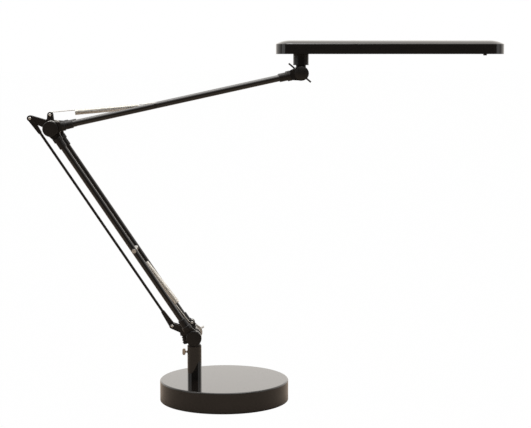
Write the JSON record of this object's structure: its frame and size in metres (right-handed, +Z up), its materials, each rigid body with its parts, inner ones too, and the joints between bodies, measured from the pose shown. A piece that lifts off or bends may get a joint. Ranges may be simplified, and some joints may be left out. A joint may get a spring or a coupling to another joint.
{
  "type": "spring-balanced desk lamp",
  "caption": "Desk lamp with a weighted round base, two spring-balanced twin-tube arms kept in step by a link rod, and a flat LED bar head that tilts and swivels.",
  "frame": {"origin": "centre of the base, on the plane that the lamp stands on", "axes": "+Z up; +X from the elbow towards the head, in the plane of the arms; +Y away from the side with the hub caps, towards the wing nuts"},
  "size_m": [0.6921, 0.19, 0.5302],
  "materials": {
    "black_lacquer": "gloss black",
    "cast_weight": "rough cast",
    "pad": "matte",
    "zinc": "bright zinc plating",
    "warm_nickel": "nickel plating",
    "dark_steel": "blackened",
    "dark_bush": "blackened",
    "black_casting": "satin black",
    "black_cap": "satin",
    "black_plate": "satin black",
    "spring_steel": "bright wire",
    "black_moulding": "matte",
    "head_lacquer": "gloss black",
    "opal": "opal, frosted",
    "board": "white solder mask",
    "led": "phosphor"
  },
  "bodies": {
    "base": {"base_cover": "black_lacquer", "base_weight": "cast_weight", "bottom_plate": "zinc", "base_pad": "pad", "plate_screws": "zinc", "post_tube": "black_lacquer", "post_plug": "zinc", "post_bolt": "zinc", "pivot_bush": "dark_bush"},
    "clamp_screw": {"clamp_screw": "warm_nickel"},
    "shoulder": {"shoulder_spigot": "dark_steel", "shoulder_front_plate": "black_plate", "shoulder_rear_plate": "black_plate", "shoulder_rivets": "zinc", "shoulder_spacers": "zinc", "shoulder_bolt": "zinc", "shoulder_cap": "black_cap", "shoulder_washer": "zinc", "cord_gland": "black_moulding"},
    "shoulder_wing_nut": {"shoulder_wing_nut": "zinc"},
    "lower_arm": {"lower_arm_front_tube": "black_lacquer", "lower_arm_front_near_fitting": "black_casting", "lower_arm_front_far_fitting": "black_casting", "lower_arm_rear_tube": "black_lacquer", "lower_arm_rear_near_fitting": "black_casting", "lower_arm_rear_far_fitting": "black_casting", "lower_arm_cross_pin": "dark_steel", "lower_spring": "spring_steel"},
    "link_rod": {"link_rod": "black_plate"},
    "elbow": {"elbow_front_plate": "black_plate", "elbow_rear_plate": "black_plate", "elbow_rivets": "zinc", "elbow_spacers": "zinc", "elbow_bolt": "zinc", "elbow_cap": "black_cap", "elbow_washer": "zinc"},
    "elbow_wing_nut": {"elbow_wing_nut": "zinc"},
    "upper_arm": {"upper_arm_front_tube": "black_lacquer", "upper_arm_front_near_fitting": "black_casting", "upper_arm_front_far_fitting": "black_casting", "upper_arm_rear_tube": "black_lacquer", "upper_arm_rear_near_fitting": "black_casting", "upper_arm_rear_far_fitting": "black_casting", "upper_arm_cross_pin": "dark_steel", "upper_spring": "spring_steel"},
    "head_joint": {"head_knuckle": "black_casting", "head_bolt": "zinc", "head_cap": "black_cap", "head_washer": "dark_steel", "swivel_nut": "zinc"},
    "head_wing_nut": {"head_wing_nut": "dark_steel"},
    "head": {"head_cover": "head_lacquer", "head_tray": "black_moulding", "head_neck": "black_casting", "head_screws": "zinc", "diffuser": "opal", "led_board": "board", "leds": "led", "switch_body": "black_moulding"},
    "switch_button": {"switch_button": "black_moulding"}
  },
  "joints": [
    {"name": "swivel", "type": "hinge", "parent": "base", "child": "shoulder", "pos_m": [-0.044, 0, 0.0814], "axis": [0, 0, 1], "range_deg": [-180, 180]},
    {"name": "swivel_clamp", "type": "hinge", "parent": "base", "child": "clamp_screw", "pos_m": [-0.044, 0, 0.0722], "axis": [-1, 0, 0], "range_deg": [0, 360]},
    {"name": "lower_arm_hinge", "type": "hinge", "parent": "shoulder", "child": "lower_arm", "pos_m": [-0.044, 0, 0.0974], "axis": [0, 1, 0], "range_deg": [-12, 65], "deforming": ["lower_spring"]},
    {"name": "shoulder_nut_turn", "type": "hinge", "parent": "shoulder", "child": "shoulder_wing_nut", "pos_m": [-0.044, 0, 0.0974], "axis": [0, 1, 0], "range_deg": [0, 360]},
    {"name": "link_rod_hinge", "type": "hinge", "parent": "shoulder", "child": "link_rod", "pos_m": [-0.0765, 0, 0.1117], "axis": [0, 1, 0], "range_deg": [-12, 65]},
    {"name": "elbow_level", "type": "hinge", "parent": "lower_arm", "child": "elbow", "pos_m": [-0.24818, 0, 0.40356], "axis": [0, 1, 0], "range_deg": [-65, 12]},
    {"name": "elbow_nut_turn", "type": "hinge", "parent": "elbow", "child": "elbow_wing_nut", "pos_m": [-0.24818, 0, 0.40356], "axis": [0, 1, 0], "range_deg": [0, 360]},
    {"name": "upper_arm_hinge", "type": "hinge", "parent": "elbow", "child": "upper_arm", "pos_m": [-0.24818, 0, 0.40356], "axis": [0, 1, 0], "range_deg": [-60, 16], "deforming": ["upper_spring"]},
    {"name": "head_tilt", "type": "hinge", "parent": "upper_arm", "child": "head_joint", "pos_m": [0.1127, 0, 0.4829], "axis": [0, 1, 0], "range_deg": [-30, 80]},
    {"name": "head_nut_turn", "type": "hinge", "parent": "head_joint", "child": "head_wing_nut", "pos_m": [0.1127, 0, 0.4829], "axis": [0, 1, 0], "range_deg": [0, 360]},
    {"name": "head_swivel", "type": "hinge", "parent": "head_joint", "child": "head", "pos_m": [0.1127, 0, 0.4946], "axis": [0, 0, 1], "range_deg": [-90, 90]},
    {"name": "switch_press", "type": "slide", "parent": "head", "child": "switch_button", "axis": [0, 0, 1], "range_m": [0, 0.0008], "stiffness_N_per_m": 400, "springref_m": -0.0005}
  ],
  "couplings": [
    {"joint": "link_rod_hinge", "follows": "lower_arm_hinge", "ratio": 1},
    {"joint": "elbow_level", "follows": "lower_arm_hinge", "ratio": -1}
  ]
}
